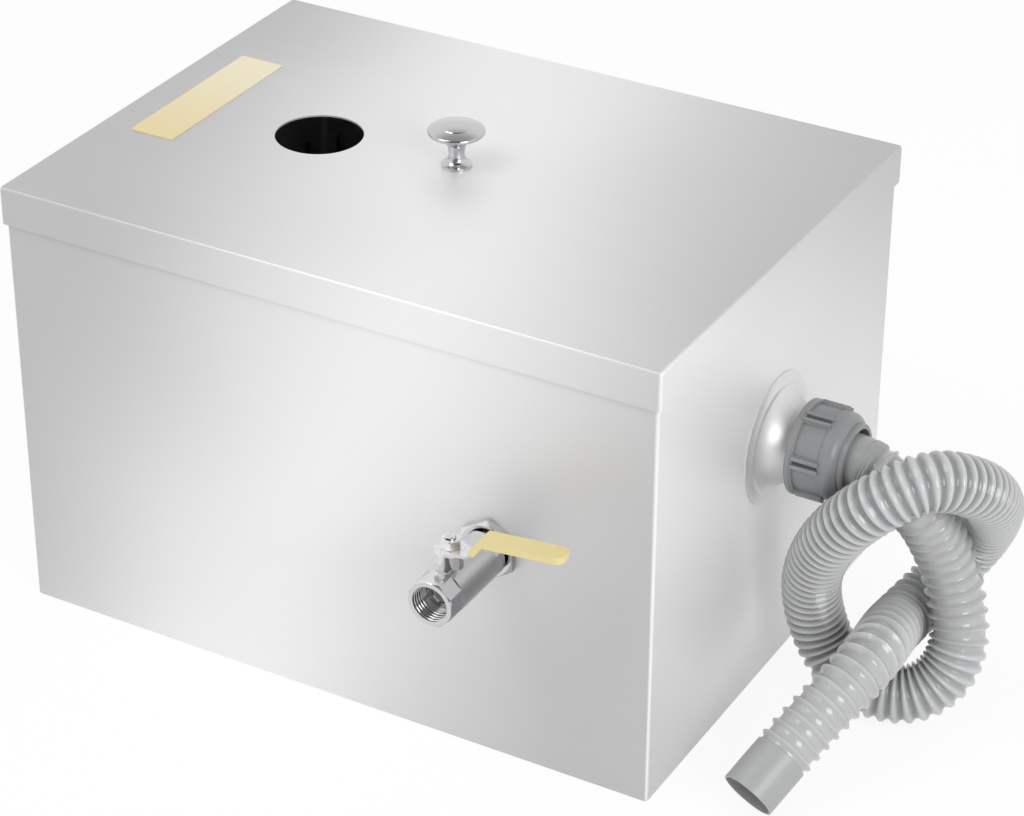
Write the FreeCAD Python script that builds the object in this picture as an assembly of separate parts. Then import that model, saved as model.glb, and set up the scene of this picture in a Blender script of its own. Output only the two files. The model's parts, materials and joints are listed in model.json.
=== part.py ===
"""Counter-top grease trap.

A folded stainless tank with a lift-off lid. Waste water drops through the hole in
the lid into a perforated basket, passes under the inlet baffle and over the outlet
baffle, and leaves through a dip tube and a slip-joint nut into a knotted
corrugated hose. A small ball valve on the front wall drains the tank.

Frame: origin at the middle of the tank's base, +X to the outlet, -Y to the front
wall with the valve, +Z up. Lengths are in millimetres, angles in degrees.
"""
import FreeCAD, Part
import math
import os
from FreeCAD import Placement, Rotation, Vector

X_AXIS = Vector(1, 0, 0)
Y_AXIS = Vector(0, 1, 0)
Z_AXIS = Vector(0, 0, 1)
FULL_TURN = 360
CUT_THROUGH = 2.0          # how far a cutting tool runs past the face it leaves

# Tank
tank_length = 400.0
tank_width = 288.0
tank_height = 262.0
sheet = 1.0
corner_bend = 2.0
least_bend = 0.2
rim_width = 10.0

# Lid
lid_sheet = 1.0
lid_clearance = 1.0
lid_skirt = 22.5
gasket_thickness = 3.0
inlet_radius = 25.0
inlet_x = -86.0
inlet_y = -5.0
plate_length = 113.0
plate_width = 28.0
plate_thickness = 0.5
plate_margin = 21.0        # from the lid's left end
plate_y = 4.0
plate_corner = 1.5

# Knob and its screw
knob_radius = 16.0
knob_height = 25.5
knob_widest_height = 21.0
knob_base_radius = 8.5
knob_foot = 1.6
knob_waist_radius = 4.6
knob_waist_share = 0.36    # of the knob's height
knob_hollow = 0.9
knob_edge = 1.2
knob_dome_radius = 9.6
knob_dome_height = 1.6
knob_step = 0.4
knob_screw_radius = 2.5
knob_screw_grip = 11.0
screw_head_edge = 1.2
screw_tip = 0.6
recess_length = 4.6
recess_width = 0.9
recess_depth = 1.5
knob_washer_radius = 7.5
knob_washer_thickness = 1.0
running_gap = 0.1

# Basket and its rails
basket_length = 168.0
basket_depth = 118.0
basket_sheet = 1.0
basket_corner = 4.0
basket_drop = 24.0         # from the tank's rim down to the rail's top face
basket_side_flange = 12.0
basket_end_flange = 5.0
basket_gap = 1.0
rail_leg = 14.0
rail_thickness = 1.5
hole_radius = 4.0
hole_pitch = 24.0
slot_width = 5.0
slot_height = 46.0
slot_pitch = 24.0
slot_share = 0.42          # of the basket's depth, up to the slots' middle
handle_wire = 2.0
handle_span = 84.0
handle_rise = 17.0
handle_leg = 30.0
handle_bend = 9.0

# Baffles and their guides
baffle_sheet = 1.2
baffle_clearance = 0.3
baffle_gap = 7.0           # between the basket's flange and the first baffle
inlet_baffle_lift = 48.0
inlet_baffle_top = 236.0
outlet_baffle_x = 66.0
outlet_baffle_top = 178.0
guide_depth = 11.0
guide_leg = 1.0
guide_over = 3.0           # how far a guide stands above its baffle
grip_slot_length = 70.0
grip_slot_height = 20.0
grip_slot_drop = 12.0
notch_count = 7
notch_width = 16.0
notch_depth = 11.0

# Outlet on the right wall
outlet_y = -2.0
outlet_z = 153.0
neck_radius = 20.0
neck_bore = 17.0
neck_thread_radius = 20.9
neck_thread_length = 17.0
neck_reach = 40.0          # from the wall to the neck's end face
neck_inside = 13.0         # from the wall's outer face back into the tank
neck_run_out = 0.9
neck_chamfer = 1.2
flare_radius = 38.0
flare_reach = 16.0
flare_sheet = 1.2
flare_bead_radius = 32.5
flare_bead = 0.5
flare_lip = 2.0

# Hose nut and seal
nut_radius = 26.0
nut_front_radius = 24.8
nut_rim = 0.8
nut_rim_length = 3.0
nut_length = 28.0
nut_collar_radius = 20.2
nut_collar_length = 3.0
nut_collar_bore = 17.6
nut_thread_gap = 0.2
nut_mouth_chamfer = 1.0
nut_edge = 0.6
nut_shoulder = 7.0
nut_front_wall = 1.0
nut_station_count = 6
nut_first_station = 50.0
nut_rib_width = 2.2
nut_rib_gap = 2.4
nut_rib_height = 0.9
nut_rib_length = 16.0
nut_rib_start = 0.4
nut_panel_radius = 24.4
nut_panel_inset = 0.8
nut_panel_margin = 9.0     # degrees from a station's middle to the panel beside it
nut_slot_radius = 23.0
seal_thickness = 4.0
seal_inset = 1.2
seal_step = 0.4
seal_rim_share = 0.4       # of the seal's thickness

# Dip pipe inside the outlet
socket_wall = 2.4
socket_gap = 0.2
socket_depth = 12.0
elbow_bend = 27.0
dip_radius = 20.0
dip_wall = 1.8
dip_clear_floor = 62.0

# Drain valve on the front wall
drain_x = 104.0
drain_z = 132.0
thread_radius = 10.2       # half-inch pipe thread at its pitch line
thread_gap = 0.1
drain_hole_gap = 0.4       # between the nipple's thread and the hole in the wall
nipple_bore = 7.5
nipple_inside = 12.0
nipple_end_gap = 3.5       # from its end to the valve's insert
nipple_chamfer = 0.8
locknut_flats = 31.0
locknut_thickness = 5.0
washer_radius = 15.0
washer_thickness = 2.0
valve_gap = 2.0
valve_length = 55.0
valve_radius = 13.5
valve_flats = 25.6
valve_front_flats = 12.0
valve_rear_flats = 8.0
valve_chamfer = 0.8
valve_thread_depth = 11.0
port_radius = 5.5
shoulder = 1.5
cavity_radius = 9.7
cavity_length = 18.0
ball_radius = 8.0
ball_bore_step = 0.9       # how much narrower the ball's bore is than the port
ball_gap = 0.1
seat_length = 4.5
insert_length = 6.0
insert_slot = 2.5

# Stem, gland and lever
boss_radius = 6.8
boss_height = 21.5
stem_radius = 3.0
stem_flange_radius = 4.0
stem_flange = 1.4
stem_flange_lift = 1.2     # above the ball
stem_flange_gap = 0.3
stem_chamfer = 0.6
stem_flat_share = 0.75     # of the stem's radius, out to each flat
stem_flat_drop = 0.4
stem_tang = 2.2
tang_width = 6.5
tang_depth = 2.8
packing_radius = 5.0
packing_height = 2.2
gland_height = 2.8
gland_recess = 0.3
lever_thickness = 1.8
lever_width = 10.2
lever_disc_radius = 8.6
lever_flat_length = 12.5
lever_bend_run = 8.1
lever_bend_rise = 11.6
lever_length = 66.5
lever_slope = 5.5
lever_tip_share = 0.42     # of the lever's width, rounded at each tip corner
sleeve_wall = 1.0
sleeve_start = 15.0
lever_swing = 90.0
stop_angle = 90.0
stop_width = 4.0
stop_inner_radius = 6.5
stop_gap = 2.0             # degrees
lug_root = 5.0
lug_gap = 0.3
lug_drop = 0.4
lever_nut_flats = 10.0
lever_nut_height = 5.2
stem_over_nut = 1.5

# Hose, from the neck's bore to its open end, each point in the tank's frame
hose_radius = 16.5
hose_bore = 13.5
cuff_radius = 15.5
hose_insertion = 12.0
hose_points = [
    (250, -2, 153), (269, -3, 146), (282, 4, 132), (289, 14, 113), (296, 20, 92),
    (303, 20, 70), (310, 13, 49), (307, 4, 30), (293, -7, 18), (272, -13, 17),
    (250, -11, 24), (235, -9, 44), (230, -14, 74), (239, -25, 104), (256, -37, 133),
    (277, -40, 157), (300, -24, 170), (316, 1, 156), (317, 27, 133), (308, 51, 107),
    (295, 64, 79), (278, 49, 52), (271, 18, 45), (276, -9, 56), (281, -41, 62),
    (274, -69, 51), (262, -97, 34), (251, -128, 14.5),
]
arc_share = 0.45           # of the shorter run, taken by each bend
near_cuff_edge_count = 3   # smooth stretch in the nut: run, bend, run
far_cuff_edge_count = 1

# Sizes that follow from the ones above
wall_x = tank_length / 2
wall_y = tank_width / 2
inner_x = wall_x - sheet
inner_y = wall_y - sheet
inner_bend = max(corner_bend - sheet, least_bend)
lid_top = tank_height + gasket_thickness + lid_sheet
lid_under = lid_top - lid_sheet
lid_x = wall_x + lid_clearance + lid_sheet
lid_y = wall_y + lid_clearance + lid_sheet
plate_x = plate_margin + plate_width / 2 - lid_x
rail_top = tank_height - basket_drop
basket_x = inlet_x
basket_half_length = basket_length / 2
basket_half_width = inner_y - rail_leg - basket_gap
basket_bottom = rail_top - basket_depth
inlet_baffle_x = basket_x + basket_half_length + basket_end_flange + baffle_gap
baffle_half_width = inner_y - guide_leg - baffle_clearance
guide_gap = baffle_sheet + 2 * baffle_clearance
outlet_centre = Vector(wall_x, outlet_y, outlet_z)
neck_end = wall_x + neck_reach
nut_back = neck_end + seal_thickness + nut_front_wall - nut_length
drain_wall = -wall_y
valve_rear = drain_wall - locknut_thickness - valve_gap
valve_mouth = valve_rear - valve_length
cavity_start = valve_thread_depth + shoulder
cavity_end = cavity_start + cavity_length
stem_y = valve_mouth + cavity_start + cavity_length / 2
ball_centre = Vector(drain_x, stem_y, drain_z)
boss_top = drain_z + boss_height
lever_top = boss_top + lever_thickness
stem_top = lever_top + lever_nut_height + stem_over_nut
stem_flange_base = drain_z + ball_radius + stem_flange_lift
stem_flange_room = stem_flange_base + stem_flange + stem_flange_gap
hose_start = (neck_end - hose_insertion, outlet_y, outlet_z)
hose_path = [hose_start] + hose_points


def box(x_range, y_range, z_range):
    """Block between two values on each axis."""
    (x0, x1), (y0, y1), (z0, z1) = x_range, y_range, z_range
    return Part.makeBox(x1 - x0, y1 - y0, z1 - z0, Vector(x0, y0, z0))


def centred(middle, half):
    """Range that lies the same way each side of a middle."""
    return (middle - half, middle + half)


def cylinder(radius, length, base, axis):
    """Round bar from a base point along an axis."""
    return Part.makeCylinder(radius, length, base, axis)


def ring(outer, inner, length, base, axis):
    """Round bar with a hole right through it."""
    hole_base = base - axis * CUT_THROUGH
    hole = cylinder(inner, length + 2 * CUT_THROUGH, hole_base, axis)
    return cylinder(outer, length, base, axis).cut(hole)


def vertical_edges(shape):
    """Edges that run along Z."""
    return [edge for edge in shape.Edges
            if abs(edge.tangentAt(edge.FirstParameter).z) > 0.999 and edge.Length > 1e-6]


def edges_at_height(shape, height):
    """Edges that lie flat at one height."""
    return [edge for edge in shape.Edges
            if max(abs(vertex.Z - height) for vertex in edge.Vertexes) < 1e-6]


def outline(stops):
    """Closed face in the XZ plane from (along, radius) stops.

    A stop with a third entry is the middle of an arc to the stop after it.
    """
    edges = []
    start = Vector(stops[0][0], 0, stops[0][1])
    through = None
    for stop in stops[1:] + stops[:1]:
        point = Vector(stop[0], 0, stop[1])
        if len(stop) == 3:
            through = point
            continue
        if through:
            edges.append(Part.Arc(start, through, point).toShape())
        elif start.distanceToPoint(point) > 1e-9:
            edges.append(Part.LineSegment(start, point).toShape())
        through = None
        start = point
    return Part.Face(Part.Wire(edges))


def turned(stops, base, axis):
    """Turned piece: its half section is spun round X, then laid along an axis."""
    shape = outline(stops).revolve(Vector(), X_AXIS, FULL_TURN)
    shape = Part.Solid(shape) if shape.ShapeType == "Shell" else shape
    shape.Placement = Placement(base, Rotation(X_AXIS, axis))
    return shape


def hexagon(flats, length, base, axis, sides=6):
    """Prism with a width across its flats, lying along an axis."""
    corner = flats / 2 / math.cos(math.pi / sides)
    points = []
    for side in range(sides + 1):
        angle = 2 * math.pi * (side + 0.5) / sides
        points.append(Vector(0, corner * math.cos(angle), corner * math.sin(angle)))
    prism = Part.Face(Part.makePolygon(points)).extrude(X_AXIS * length)
    prism.Placement = Placement(base, Rotation(X_AXIS, axis))
    return prism


def chamfered_nut(flats, thickness, bore, base, axis):
    """Hexagon nut with both faces turned down at the corners."""
    corner = flats / 2 / math.cos(math.pi / 6)
    face_radius = flats / 2 * 0.98
    drop = (corner - face_radius) * math.tan(math.radians(30))
    blank = turned([(0, 0), (0, face_radius), (drop, corner), (thickness - drop, corner),
                    (thickness, face_radius), (thickness, 0)], base, axis)
    hole = cylinder(bore, thickness + 2 * CUT_THROUGH, base - axis * CUT_THROUGH, axis)
    return hexagon(flats, thickness, base, axis).common(blank).cut(hole)


def tray(half_x, half_y, z_range, bend, rounded_height):
    """Block with bent corners, and a bend along its floor or its top."""
    block = box(centred(0, half_x), centred(0, half_y), z_range)
    return block.makeFillet(bend, vertical_edges(block) + edges_at_height(block, rounded_height))


def tank_shell():
    """Floor, four walls and a rim turned inwards, folded from one sheet."""
    outside = tray(wall_x, wall_y, (0, tank_height), corner_bend, 0)
    inside = tray(inner_x, inner_y, (sheet, tank_height - sheet), inner_bend, sheet)
    mouth = box(centred(0, inner_x - rim_width), centred(0, inner_y - rim_width),
                (tank_height - 2 * sheet, tank_height + CUT_THROUGH))
    outlet_hole = cylinder(neck_radius, 3 * CUT_THROUGH,
                           outlet_centre - X_AXIS * 2 * CUT_THROUGH, X_AXIS)
    drain_hole = cylinder(thread_radius + drain_hole_gap, 3 * CUT_THROUGH,
                          Vector(drain_x, drain_wall + 2 * CUT_THROUGH, drain_z), -Y_AXIS)
    return outside.cut(inside).cut(mouth).cut(outlet_hole).cut(drain_hole)


def lid_pan():
    """Lid sheet with its skirt folded down over the tank."""
    skirt_bottom = lid_top - lid_skirt
    outside = tray(lid_x, lid_y, (skirt_bottom, lid_top), corner_bend, lid_top)
    inside = tray(lid_x - lid_sheet, lid_y - lid_sheet, (skirt_bottom - CUT_THROUGH, lid_under),
                  max(corner_bend - lid_sheet, least_bend), lid_under)
    inlet = cylinder(inlet_radius, 3 * CUT_THROUGH,
                     Vector(inlet_x, inlet_y, lid_under - CUT_THROUGH), Z_AXIS)
    screw_hole = cylinder(knob_screw_radius + running_gap, 3 * CUT_THROUGH,
                          Vector(0, 0, lid_under - CUT_THROUGH), Z_AXIS)
    return outside.cut(inside).cut(inlet).cut(screw_hole)


def lid_gasket():
    """Flat rubber strip under the lid, lying on the tank's rim."""
    z_range = (tank_height, lid_under)
    strip = box(centred(0, wall_x), centred(0, wall_y), z_range)
    strip = strip.makeFillet(corner_bend, vertical_edges(strip))
    hole = box(centred(0, inner_x - rim_width), centred(0, inner_y - rim_width),
               (tank_height - CUT_THROUGH, lid_under + CUT_THROUGH))
    return strip.cut(hole)


def ball_middle(low, high):
    """Middle of the arc between two stops whose centre lies on the turning axis."""
    (low_x, low_radius), (high_x, high_radius) = low, high
    centre = (low_x ** 2 + low_radius ** 2 - high_x ** 2 - high_radius ** 2) / 2 / (low_x - high_x)
    radius = math.hypot(low_x - centre, low_radius)
    angle = (math.atan2(low_radius, low_x - centre) + math.atan2(high_radius, high_x - centre)) / 2
    return (centre + radius * math.cos(angle), radius * math.sin(angle), "through")


def lid_knob():
    """Turned knob with a foot, a waist and a domed cap that has a low step."""
    waist = knob_height * knob_waist_share
    cap_radius = knob_radius - knob_edge / 2
    under_cap = (knob_widest_height - knob_edge, cap_radius)
    over_cap = (knob_widest_height + knob_edge, cap_radius)
    step_height = knob_height - knob_dome_height
    step_low = (step_height, knob_dome_radius)
    step_high = (step_height + knob_step, knob_dome_radius - knob_step)
    crown = (knob_height, 0)
    blind = knob_screw_grip + knob_screw_radius
    stops = [
        (0, knob_screw_radius), (0, knob_base_radius), (knob_foot, knob_base_radius),
        (knob_foot + waist * 0.25, (knob_base_radius + knob_waist_radius) / 2 - knob_hollow,
         "through"),
        (waist, knob_waist_radius),
        ((waist + under_cap[0]) * 0.54, (knob_waist_radius + cap_radius) * 0.36, "through"),
        under_cap, (knob_widest_height, knob_radius, "through"), over_cap,
        ball_middle(over_cap, step_low), step_low, step_high,
        ball_middle(step_high, crown), crown, (blind, 0), (blind, knob_screw_radius),
    ]
    return turned(stops, Vector(0, 0, lid_top), Z_AXIS)


def knob_washer():
    """Flat washer between the lid sheet and the screw's head."""
    base = Vector(0, 0, lid_under - knob_washer_thickness)
    return ring(knob_washer_radius, knob_screw_radius + running_gap,
                knob_washer_thickness, base, Z_AXIS)


def knob_screw():
    """Pan-head screw that holds the knob from below."""
    head_radius = 2 * knob_screw_radius
    head_height = 1.4 * knob_screw_radius
    seat = lid_under - knob_washer_thickness
    shank = knob_screw_radius - running_gap
    tip = head_height + (lid_top - seat) + knob_screw_grip
    rounded = screw_head_edge * (1 - math.sqrt(0.5))
    screw = turned([(0, 0), (0, head_radius - screw_head_edge),
                    (rounded, head_radius - rounded, "through"), (screw_head_edge, head_radius),
                    (head_height, head_radius), (head_height, shank), (tip - screw_tip, shank),
                    (tip, shank - screw_tip), (tip, 0)],
                   Vector(0, 0, seat - head_height), Z_AXIS)
    for width, depth in ((recess_width, recess_length), (recess_length, recess_width)):
        screw = screw.cut(box(centred(0, width / 2), centred(0, depth / 2),
                              centred(seat - head_height, recess_depth)))
    return screw


def name_plate():
    """Thin bare plate on the lid."""
    plate = box(centred(plate_x, plate_width / 2), centred(plate_y, plate_length / 2),
                (lid_top, lid_top + plate_thickness))
    return plate.makeFillet(plate_corner, vertical_edges(plate))


def spaced(pitch, half_room):
    """Places at one pitch, centred, as many as fit in the room."""
    count = int(2 * half_room // pitch) + 1
    return [(place - (count - 1) / 2) * pitch for place in range(count)]


def filter_basket():
    """Perforated tray with a flange that hangs on the rails."""
    z_range = (basket_bottom, rail_top)
    outside = tray(basket_half_length, basket_half_width, z_range, basket_corner, basket_bottom)
    inside = tray(basket_half_length - basket_sheet, basket_half_width - basket_sheet,
                  (basket_bottom + basket_sheet, rail_top + CUT_THROUGH),
                  basket_corner - basket_sheet, basket_bottom + basket_sheet)
    flange = box(centred(0, basket_half_length + basket_end_flange),
                 centred(0, basket_half_width + basket_side_flange),
                 (rail_top, rail_top + basket_sheet))
    flange = flange.makeFillet(basket_corner, vertical_edges(flange))
    mouth = box(centred(0, basket_half_length - basket_sheet),
                centred(0, basket_half_width - basket_sheet),
                (rail_top - CUT_THROUGH, rail_top + CUT_THROUGH))
    mouth = mouth.makeFillet(basket_corner - basket_sheet, vertical_edges(mouth))
    basket = outside.cut(inside).fuse(flange.cut(mouth))
    margin = basket_corner + 2 * hole_radius
    tools = []
    for x in spaced(hole_pitch, basket_half_length - margin):
        for y in spaced(hole_pitch, basket_half_width - margin):
            tools.append(cylinder(hole_radius, 2 * CUT_THROUGH,
                                  Vector(x, y, basket_bottom - CUT_THROUGH / 2), Z_AXIS))
    slot_z = centred(basket_bottom + basket_depth * slot_share, slot_height / 2)
    for x in spaced(slot_pitch, basket_half_length - margin):
        for side in (-1, 1):
            tools.append(box(centred(x, slot_width / 2),
                             centred(side * basket_half_width, CUT_THROUGH), slot_z))
    for y in spaced(slot_pitch, basket_half_width - margin):
        for side in (-1, 1):
            tools.append(box(centred(side * basket_half_length, CUT_THROUGH),
                             centred(y, slot_width / 2), slot_z))
    basket = basket.cut(Part.makeCompound(tools)).removeSplitter()
    basket.translate(Vector(basket_x, 0, 0))
    return basket


def wire_along(points, radius):
    """Straight runs with a tangent arc of one radius at each point between."""
    edges = []
    start = points[0]
    for before, corner, after in zip(points, points[1:], points[2:]):
        back = (before - corner).normalize()
        ahead = (after - corner).normalize()
        half = back.getAngle(ahead) / 2
        reach = radius / math.tan(half)
        bend_in = corner + back * reach
        bend_out = corner + ahead * reach
        middle = corner + (back + ahead).normalize() * (radius / math.sin(half) - radius)
        edges.append(Part.LineSegment(start, bend_in).toShape())
        edges.append(Part.Arc(bend_in, middle, bend_out).toShape())
        start = bend_out
    edges.append(Part.LineSegment(start, points[-1]).toShape())
    return Part.Wire(edges)


def swept_bar(path, radius):
    """Round bar along a path, square to its first edge."""
    first = path.OrderedEdges[0]
    start = first.valueAt(first.FirstParameter)
    section = Part.Wire(Part.makeCircle(radius, start, first.tangentAt(first.FirstParameter)))
    return path.makePipe(Part.Face(section))


def swept_tube(edges, outer, inner):
    """Round tube along a chain of edges."""
    path = Part.Wire(edges)
    return swept_bar(path, outer).cut(swept_bar(path, inner))


def basket_handle(side):
    """Bent wire handle welded inside one end wall of the basket."""
    x = basket_x + side * (basket_half_length - basket_sheet - handle_wire)
    low = rail_top - handle_leg
    high = rail_top + handle_rise
    half = handle_span / 2
    corners = [Vector(x, -half, low), Vector(x, -half, high),
               Vector(x, half, high), Vector(x, half, low)]
    return swept_bar(wire_along(corners, handle_bend), handle_wire)


def basket_rail(side):
    """Angle strip on one wall that carries the basket's flange."""
    x_range = centred(basket_x, basket_half_length + basket_end_flange)
    wall = side * inner_y
    shelf = box(x_range, sorted((wall, wall - side * rail_leg)),
                (rail_top - rail_thickness, rail_top))
    leg = box(x_range, sorted((wall, wall - side * rail_thickness)),
              (rail_top - rail_leg, rail_top))
    return shelf.fuse(leg).removeSplitter()


def baffle_plate(x, z_range):
    """Flat plate from wall to wall, between its guides."""
    return box(centred(x, baffle_sheet / 2), centred(0, baffle_half_width), z_range)


def inlet_baffle():
    """First baffle: closed above, open below, with a slot to lift it by."""
    plate = baffle_plate(inlet_baffle_x, (inlet_baffle_lift, inlet_baffle_top))
    slot_top = inlet_baffle_top - grip_slot_drop
    slot = box(centred(inlet_baffle_x, CUT_THROUGH), centred(0, grip_slot_length / 2),
               (slot_top - grip_slot_height, slot_top))
    across = [edge for edge in slot.Edges
              if abs(edge.tangentAt(edge.FirstParameter).x) > 0.999]
    slot = slot.makeFillet(grip_slot_height * 0.48, across)
    return plate.cut(slot)


def outlet_baffle():
    """Second baffle: stands on the floor, with a notched overflow edge."""
    plate = baffle_plate(outlet_baffle_x, (sheet, outlet_baffle_top))
    pitch = 2 * (baffle_half_width - guide_depth) / notch_count
    bottom = outlet_baffle_top - notch_depth
    tool_top = outlet_baffle_top + CUT_THROUGH
    half = notch_width / 2 * (tool_top - bottom) / notch_depth
    for place in range(notch_count):
        y = (place - (notch_count - 1) / 2) * pitch
        corners = [Vector(0, y, bottom), Vector(0, y + half, tool_top),
                   Vector(0, y - half, tool_top), Vector(0, y, bottom)]
        notch = Part.Face(Part.makePolygon(corners)).extrude(X_AXIS * 2 * CUT_THROUGH)
        notch.translate(Vector(outlet_baffle_x - CUT_THROUGH, 0, 0))
        plate = plate.cut(notch)
    return plate


def baffle_guide(x, side, z_range, closed):
    """Channel on one wall for a baffle's edge, closed below where it lifts off the floor."""
    wall = side * inner_y
    half = guide_gap / 2 + guide_leg
    channel = box(centred(x, half), sorted((wall, wall - side * guide_depth)), z_range)
    groove_bottom = z_range[0] + guide_leg if closed else z_range[0] - CUT_THROUGH
    groove = box(centred(x, guide_gap / 2),
                 sorted((wall - side * guide_leg, wall - side * 2 * guide_depth)),
                 (groove_bottom, z_range[1] + CUT_THROUGH))
    return channel.cut(groove)


def outlet_flare():
    """Spun flange that covers the wall round the neck."""
    rise = flare_radius - neck_radius
    outside_bead = flare_bead_radius + flare_lip
    inside_bead = flare_bead_radius - flare_lip
    stops = [
        (0, flare_radius), (flare_sheet * 0.6, flare_radius),
        (flare_sheet, flare_radius - flare_lip), (flare_sheet * 1.5, outside_bead),
        (flare_sheet * 1.75 + flare_bead, flare_bead_radius, "through"),
        (flare_sheet * 2.2, inside_bead),
        (flare_reach * 0.45, neck_radius + rise * 0.27, "through"),
        (flare_reach, neck_radius + flare_sheet * 0.75), (flare_reach, neck_radius),
        (flare_reach * 0.45, neck_radius + rise * 0.19),
        (flare_sheet, inside_bead), (flare_sheet * 0.8, outside_bead),
        (0, flare_radius - flare_lip),
    ]
    return turned(stops, outlet_centre, X_AXIS)


def outlet_neck():
    """Tube through the wall with an outside thread at its end."""
    start = -neck_inside
    thread_start = neck_reach - neck_thread_length
    stops = [
        (start, neck_bore), (start, neck_radius), (thread_start - neck_run_out, neck_radius),
        (thread_start, neck_thread_radius), (neck_reach - neck_chamfer, neck_thread_radius),
        (neck_reach, neck_thread_radius - neck_chamfer), (neck_reach, neck_bore),
    ]
    return turned(stops, outlet_centre, X_AXIS)


def hose_seal():
    """Tapered slip washer squeezed between the neck's end and the nut."""
    rim = neck_thread_radius - seal_inset
    face = neck_end + seal_thickness
    stops = [
        (neck_end, cuff_radius), (neck_end, rim),
        (neck_end + seal_thickness * seal_rim_share, rim),
        (face, nut_collar_bore + seal_step), (face, cuff_radius),
    ]
    return turned(stops, Vector(0, outlet_y, outlet_z), X_AXIS)


def hose_nut():
    """Moulded slip nut with a rim, paired ribs, sunk panels and a stepped nose."""
    front = nut_length
    tip = front + nut_collar_length
    bore = neck_thread_radius + nut_thread_gap
    seat = neck_end + seal_thickness - nut_back
    drop = nut_front_radius - nut_collar_radius - nut_edge
    stops = [
        (0, bore + nut_mouth_chamfer), (0, nut_radius + nut_rim - nut_edge),
        (nut_edge, nut_radius + nut_rim), (nut_rim_length, nut_radius + nut_rim),
        (nut_rim_length + nut_edge, nut_radius), (front - nut_shoulder, nut_front_radius),
        (front - nut_shoulder * 0.3, nut_front_radius - drop * 0.33, "through"),
        (front, nut_collar_radius + nut_edge), (front, nut_collar_radius),
        (tip - nut_edge, nut_collar_radius), (tip, nut_collar_radius - nut_edge),
        (tip, nut_collar_bore), (seat, nut_collar_bore),
        (seat, nut_collar_bore + seal_step + running_gap),
        (seat - seal_thickness * (1 - seal_rim_share), bore), (nut_mouth_chamfer, bore),
    ]
    centre = Vector(nut_back, outlet_y, outlet_z)
    nut = turned(stops, centre, X_AXIS)
    step = FULL_TURN / nut_station_count
    rib_range = (nut_rim_length + nut_rib_start, nut_rim_length + nut_rib_start + nut_rib_length)
    sunk_range = (rib_range[0] + nut_panel_inset, rib_range[1] - nut_panel_inset)
    outside = nut_radius + nut_rim + CUT_THROUGH
    panel = sector(sunk_range[0], sunk_range[1], nut_panel_radius, outside,
                   step - 2 * nut_panel_margin)
    panel.rotate(Vector(), X_AXIS, step / 2)
    ribs = [box(rib_range, ((bore + nut_slot_radius) / 2, nut_radius + nut_rib_height),
                centred(side * (nut_rib_gap + nut_rib_width) / 2, nut_rib_width / 2))
            for side in (-1, 1)]
    slot = box(sunk_range, (nut_slot_radius, outside), centred(0, nut_rib_gap / 2))
    for station in range(nut_station_count):
        turn = Placement(centre, Rotation(X_AXIS, nut_first_station + station * step))
        nut = nut.cut(placed(panel, turn))
        for rib in ribs:
            nut = nut.fuse(placed(rib, turn))
        nut = nut.cut(placed(slot, turn))
    return nut.removeSplitter()


def placed(shape, turn):
    """Copy of a shape, moved by one turn."""
    copy = shape.copy()
    copy.Placement = turn.multiply(copy.Placement)
    return copy


def sector(start, end, inner, outer, angle):
    """Part of a ring round X, centred on +Y."""
    face = outline([(start, inner), (end, inner), (end, outer), (start, outer)])
    piece = face.revolve(Vector(), X_AXIS, angle)
    piece.rotate(Vector(), X_AXIS, -90 - angle / 2)
    return piece


def outlet_elbow():
    """Plastic bend pushed on the neck inside the tank, with a socket at each end."""
    outer = neck_radius + socket_gap + socket_wall
    socket = neck_radius + socket_gap
    entry = Vector(inner_x, outlet_y, outlet_z)
    pipe_end = wall_x - neck_inside
    corner = Vector(pipe_end - elbow_bend, outlet_y, outlet_z)
    low = Vector(corner.x, outlet_y, outlet_z - elbow_bend - socket_depth)
    path = wire_along([entry, corner, low], elbow_bend)
    body = swept_bar(path, outer)
    way = swept_bar(path, neck_bore)
    neck_room = cylinder(socket, entry.x - pipe_end, entry, -X_AXIS)
    dip_room = cylinder(socket, socket_depth, low, Z_AXIS)
    return body.cut(way).cut(neck_room).cut(dip_room)


def dip_tube():
    """Plastic tube from the elbow down towards the floor."""
    x = wall_x - neck_inside - elbow_bend
    top = outlet_z - elbow_bend
    return ring(dip_radius, dip_radius - dip_wall, top - dip_clear_floor,
                Vector(x, outlet_y, dip_clear_floor), Z_AXIS)


def drain_nipple():
    """Threaded tube through the front wall into the valve."""
    start = drain_wall + sheet + nipple_inside
    length = start - (valve_mouth + cavity_end + insert_length + nipple_end_gap)
    outer = thread_radius - thread_gap
    edge = outer - nipple_chamfer
    stops = [(0, nipple_bore), (0, edge), (nipple_chamfer, outer),
             (length - nipple_chamfer, outer), (length, edge), (length, nipple_bore)]
    return turned(stops, Vector(drain_x, start, drain_z), -Y_AXIS)


def outer_locknut():
    """Hexagon nut on the outside of the front wall."""
    return chamfered_nut(locknut_flats, locknut_thickness, thread_radius,
                         Vector(drain_x, drain_wall, drain_z), -Y_AXIS)


def inner_washer():
    """Rubber washer on the inside of the front wall."""
    return ring(washer_radius, thread_radius, washer_thickness,
                Vector(drain_x, drain_wall + sheet, drain_z), Y_AXIS)


def inner_locknut():
    """Hexagon nut that pulls the rubber washer on to the wall."""
    return chamfered_nut(locknut_flats, locknut_thickness, thread_radius,
                         Vector(drain_x, drain_wall + sheet + washer_thickness, drain_z), Y_AXIS)


def along_valve(distance):
    """Point on the valve's axis, measured in from its mouth."""
    return Vector(drain_x, valve_mouth + distance, drain_z)


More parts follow.
